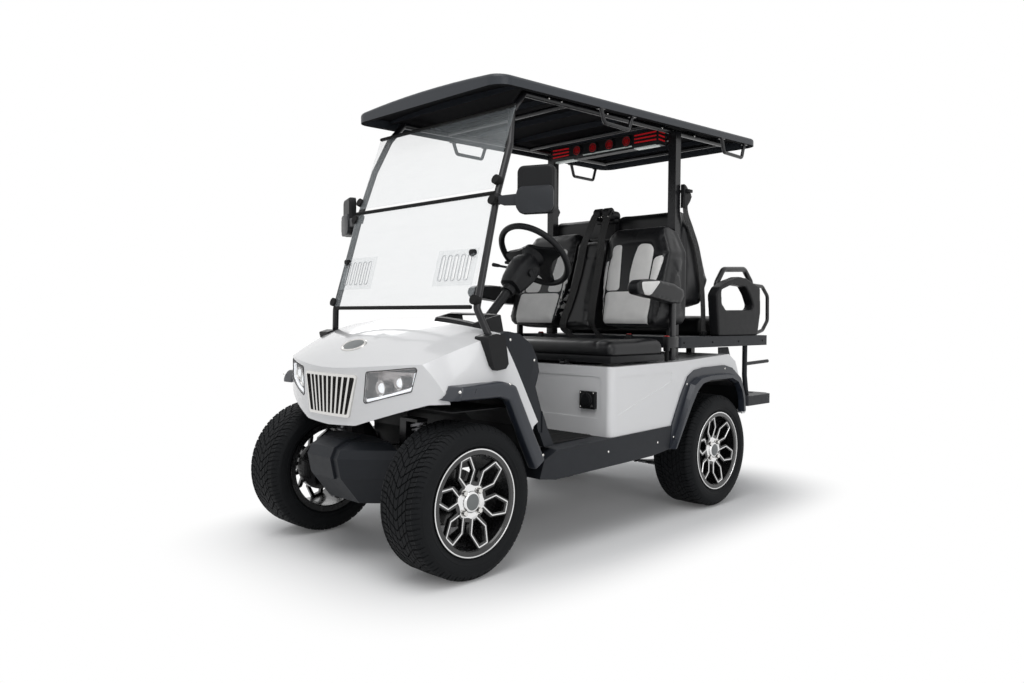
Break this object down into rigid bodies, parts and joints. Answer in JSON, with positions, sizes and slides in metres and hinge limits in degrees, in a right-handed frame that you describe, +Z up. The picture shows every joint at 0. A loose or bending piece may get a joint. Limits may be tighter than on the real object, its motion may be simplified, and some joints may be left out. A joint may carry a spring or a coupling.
{
  "type": "golf cart",
  "caption": "Four-seat electric golf cart with a canopy roof, two-piece windscreen, alloy wheels and a rear-facing flip seat over a fold-out step.",
  "frame": {"origin": "on the ground under the middle of the cart's overall length and width", "axes": "+X to the cart's left (driver) side, +Y to its rear, +Z up"},
  "size_m": [1.3886, 2.7691, 1.9768],
  "materials": {
    "body_white": "gloss",
    "charcoal_moulding": "satin",
    "black_plastic": "satin",
    "roof_black": "satin",
    "frame_black": "satin",
    "clear_screen": "clear",
    "lamp_lens": "clear",
    "lamp_reflector": "polished",
    "bright_metal": "polished",
    "seat_vinyl": "satin",
    "tyre": "matte",
    "wheel_alloy": "machined",
    "rubber": "matte",
    "red_lens": "gloss",
    "battery_case": "matte",
    "bare_steel": "matte"
  },
  "bodies": {
    "body": {"chassis": "frame_black", "leaf_springs": "bare_steel", "rear_axle": "bare_steel", "front_suspension": "bare_steel", "battery": "battery_case", "floor_pan": "black_plastic", "sills": "charcoal_moulding", "pedals": "rubber", "front_cowl": "body_white", "grille": "bright_metal", "grille_back": "black_plastic", "headlamp_lenses": "lamp_lens", "headlamp_bowls": "lamp_reflector", "front_bumper": "charcoal_moulding", "front_flares": "charcoal_moulding", "rear_flares": "charcoal_moulding", "arch_liners": "black_plastic", "side_covers": "charcoal_moulding", "post_covers": "black_plastic", "dashboard": "black_plastic", "steering_column": "black_plastic", "windscreen_posts": "frame_black", "windscreen_lower": "clear_screen", "windscreen_upper": "clear_screen", "windscreen_fittings": "rubber", "windscreen_vents": "clear_screen", "mirrors": "black_plastic", "roof": "roof_black", "roof_frame": "frame_black", "sound_bar": "black_plastic", "rear_body": "body_white", "charge_port": "black_plastic", "seat_frame": "frame_black", "rear_posts": "frame_black", "seat_back_left": "seat_vinyl", "seat_back_right": "seat_vinyl", "console_back": "seat_vinyl", "belt_tower": "black_plastic", "front_armrests": "seat_vinyl", "rear_seat_back": "seat_vinyl", "rear_tray": "charcoal_moulding", "rear_armrests": "black_plastic", "grab_guards": "frame_black", "rear_step": "charcoal_moulding", "tail_lamps": "red_lens"},
    "front_cushion_lid": {"front_cushion": "seat_vinyl"},
    "rear_flip_seat": {"rear_cushion": "seat_vinyl"},
    "steering_hand_wheel": {"steering_wheel": "black_plastic"},
    "track_rod": {"tie_rod": "bare_steel"},
    "left_knuckle": {"knuckle_left": "bare_steel"},
    "right_knuckle": {"knuckle_right": "bare_steel"},
    "front_left_wheel": {"tyre_front_left": "tyre", "rim_front_left": "wheel_alloy"},
    "front_right_wheel": {"tyre_front_right": "tyre", "rim_front_right": "wheel_alloy"},
    "rear_left_wheel": {"tyre_rear_left": "tyre", "rim_rear_left": "wheel_alloy"},
    "rear_right_wheel": {"tyre_rear_right": "tyre", "rim_rear_right": "wheel_alloy"}
  },
  "joints": [
    {"name": "steer_left", "type": "hinge", "parent": "body", "child": "left_knuckle", "pos_m": [0.4, -1.0976, 0.285], "axis": [0, 0, 1], "range_deg": [-28, 28]},
    {"name": "steer_right", "type": "hinge", "parent": "body", "child": "right_knuckle", "pos_m": [-0.4, -1.0976, 0.285], "axis": [0, 0, 1], "range_deg": [-28, 28]},
    {"name": "track_rod_swing", "type": "hinge", "parent": "left_knuckle", "child": "track_rod", "pos_m": [0.4, -0.9776, 0.262], "axis": [0, 0, 1], "range_deg": [-28, 28]},
    {"name": "hand_wheel_turn", "type": "hinge", "parent": "body", "child": "steering_hand_wheel", "pos_m": [0.25, -0.4476, 1.235], "axis": [0, 0.7071, 0.7071], "range_deg": [-448, 448]},
    {"name": "spin_front_left", "type": "hinge", "parent": "left_knuckle", "child": "front_left_wheel", "pos_m": [0.477, -1.0976, 0.285], "axis": [1, 0, 0], "continuous": true},
    {"name": "spin_front_right", "type": "hinge", "parent": "right_knuckle", "child": "front_right_wheel", "pos_m": [-0.477, -1.0976, 0.285], "axis": [1, 0, 0], "continuous": true},
    {"name": "spin_rear_left", "type": "hinge", "parent": "body", "child": "rear_left_wheel", "pos_m": [0.49, 0.5724, 0.285], "axis": [1, 0, 0], "continuous": true},
    {"name": "spin_rear_right", "type": "hinge", "parent": "body", "child": "rear_right_wheel", "pos_m": [-0.49, 0.5724, 0.285], "axis": [1, 0, 0], "continuous": true},
    {"name": "front_cushion_hinge", "type": "hinge", "parent": "body", "child": "front_cushion_lid", "pos_m": [0, -0.3036, 0.752], "axis": [1, 0, 0], "range_deg": [0, 27]},
    {"name": "rear_seat_flip", "type": "hinge", "parent": "body", "child": "rear_flip_seat", "pos_m": [0, 1.2224, 0.873], "axis": [-1, 0, 0], "range_deg": [0, 178]}
  ],
  "couplings": [
    {"joint": "steer_right", "follows": "steer_left", "ratio": 1},
    {"joint": "track_rod_swing", "follows": "steer_left", "ratio": -1},
    {"joint": "hand_wheel_turn", "follows": "steer_left", "ratio": 16}
  ]
}
